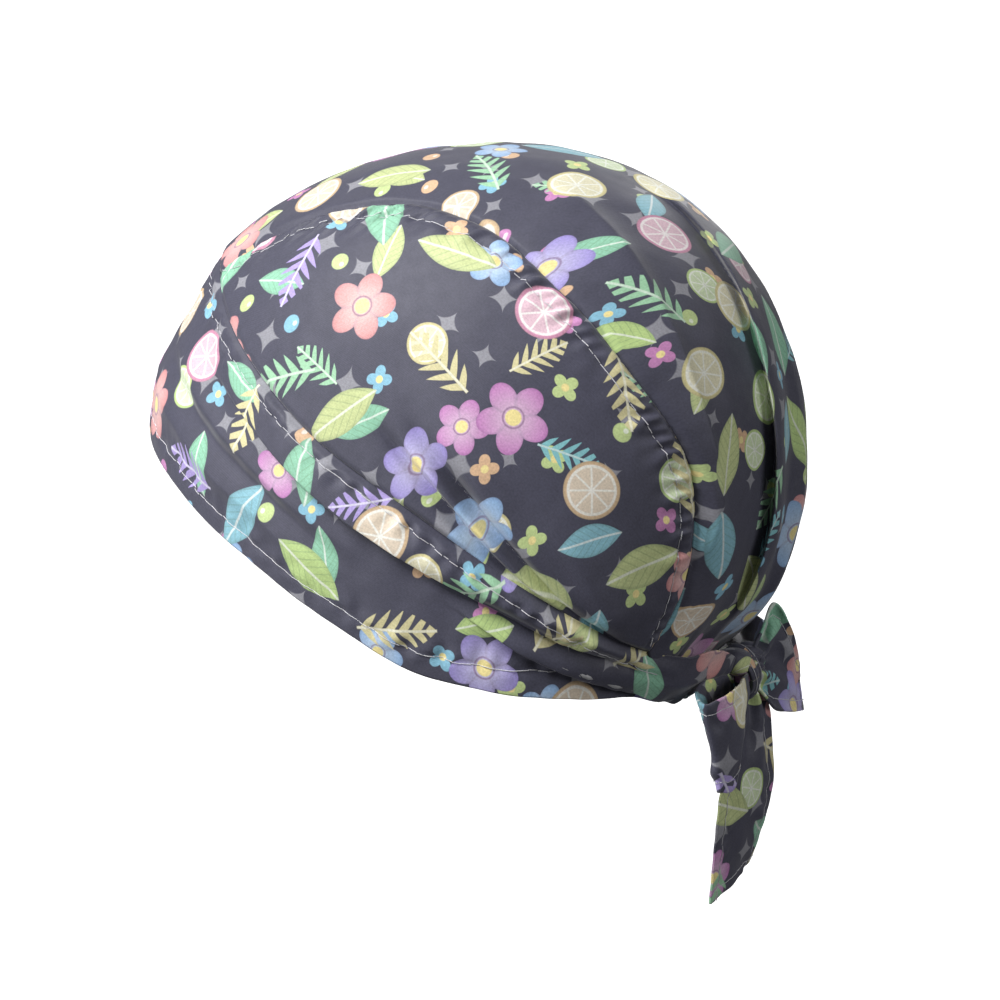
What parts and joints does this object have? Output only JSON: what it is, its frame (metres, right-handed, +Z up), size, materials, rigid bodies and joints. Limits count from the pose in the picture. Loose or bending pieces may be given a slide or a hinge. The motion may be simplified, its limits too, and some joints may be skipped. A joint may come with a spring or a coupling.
{
  "type": "bandana cap",
  "caption": "Soft printed cloth cap with a panelled crown on a wide band whose narrowing ends tie at the nape in a half bow, worn over the hair.",
  "frame": {"origin": "middle of the head hollow, on the plane of symmetry, level with the widest part of the crown", "axes": "+Z up as worn, -Y the way the wearer faces, +X towards the wearer's left"},
  "size_m": [0.1638, 0.2171, 0.2395],
  "materials": {
    "band_cloth": "printed poplin",
    "side_cloth": "printed poplin",
    "center_cloth": "printed poplin",
    "tie_cloth": "printed poplin"
  },
  "bodies": {
    "root": {"band": "band_cloth", "side_panel_left": "side_cloth", "side_panel_right": "side_cloth", "center_panel": "center_cloth", "knot": "tie_cloth", "tie_loop": "tie_cloth", "tie_tail_long": "tie_cloth", "tie_tail_short": "tie_cloth"}
  },
  "joints": []
}
